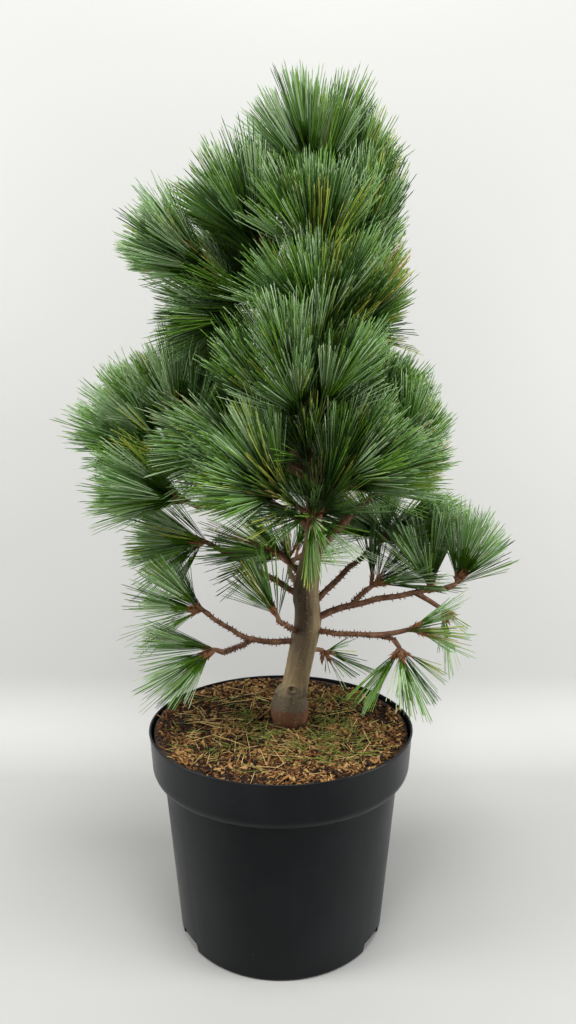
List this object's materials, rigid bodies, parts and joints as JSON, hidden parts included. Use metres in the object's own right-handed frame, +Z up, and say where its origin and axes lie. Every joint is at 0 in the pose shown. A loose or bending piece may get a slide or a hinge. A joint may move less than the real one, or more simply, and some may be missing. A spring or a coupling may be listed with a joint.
{
  "type": "potted pine tree",
  "caption": "Young potted eastern white pine: round pot, growing medium, leaning tapered trunk, boughs and masses of long soft needles.",
  "frame": {"origin": "middle of the pot's flat underside, on the surface it stands on", "axes": "+Z up the plant; -Y is the front, the side the picture shows; +X to the right seen from the front"},
  "size_m": [0.4409, 0.3494, 0.8706],
  "materials": {
    "pot_plastic": "satin near-black moulded plastic",
    "growing_medium": "loose shredded brown bark with dry needles and a little moss",
    "trunk_bark": "smooth grey-olive young bark with pale specks",
    "bough_bark": "red-brown twig bark with peg-like leaf bases",
    "needles": "slightly waxy green to blue-green needles"
  },
  "bodies": {
    "root": {"pot": "pot_plastic", "soil": "growing_medium", "trunk": "trunk_bark", "low_left_bough": "bough_bark", "low_left_arm": "bough_bark", "low_left_twig": "bough_bark", "mid_left_bough": "bough_bark", "low_right_bough": "bough_bark", "low_right_arm": "bough_bark", "front_right_bough": "bough_bark", "back_right_bough": "bough_bark", "high_right_bough": "bough_bark", "high_left_bough": "bough_bark", "high_left_arm": "bough_bark", "shoulder_left_bough": "bough_bark", "low_back_bough": "bough_bark", "mid_back_bough": "bough_bark", "leader_mass": "needles", "top_right_mass": "needles", "top_back_mass": "needles", "top_front_mass": "needles", "top_left_mass": "needles", "far_left_mass": "needles", "upper_left_mass": "needles", "upper_front_mass": "needles", "upper_right_mass": "needles", "pale_right_mass": "needles", "upper_back_left_mass": "needles", "upper_back_right_mass": "needles", "front_mass": "needles", "mid_left_mass": "needles", "lower_left_mass": "needles", "shoulder_left_mass": "needles", "shoulder_front_left_mass": "needles", "bottom_left_mass": "needles", "left_front_mass": "needles", "right_front_mass": "needles", "shoulder_right_mass": "needles", "high_right_mass": "needles", "right_back_mass": "needles", "mid_back_left_mass": "needles", "mid_back_mass": "needles", "mid_back_right_mass": "needles", "back_left_mass": "needles", "back_right_mass": "needles", "low_back_mass": "needles", "low_right_mass": "needles", "low_right_tip_mass": "needles", "low_right_inner_mass": "needles", "front_right_mass": "needles", "low_left_mass": "needles", "low_left_arm_mass": "needles", "low_left_inner_mass": "needles", "droop_mass": "needles", "low_right_under_mass": "needles", "front_right_side_mass": "needles", "low_back_right_mass": "needles"}
  },
  "joints": []
}
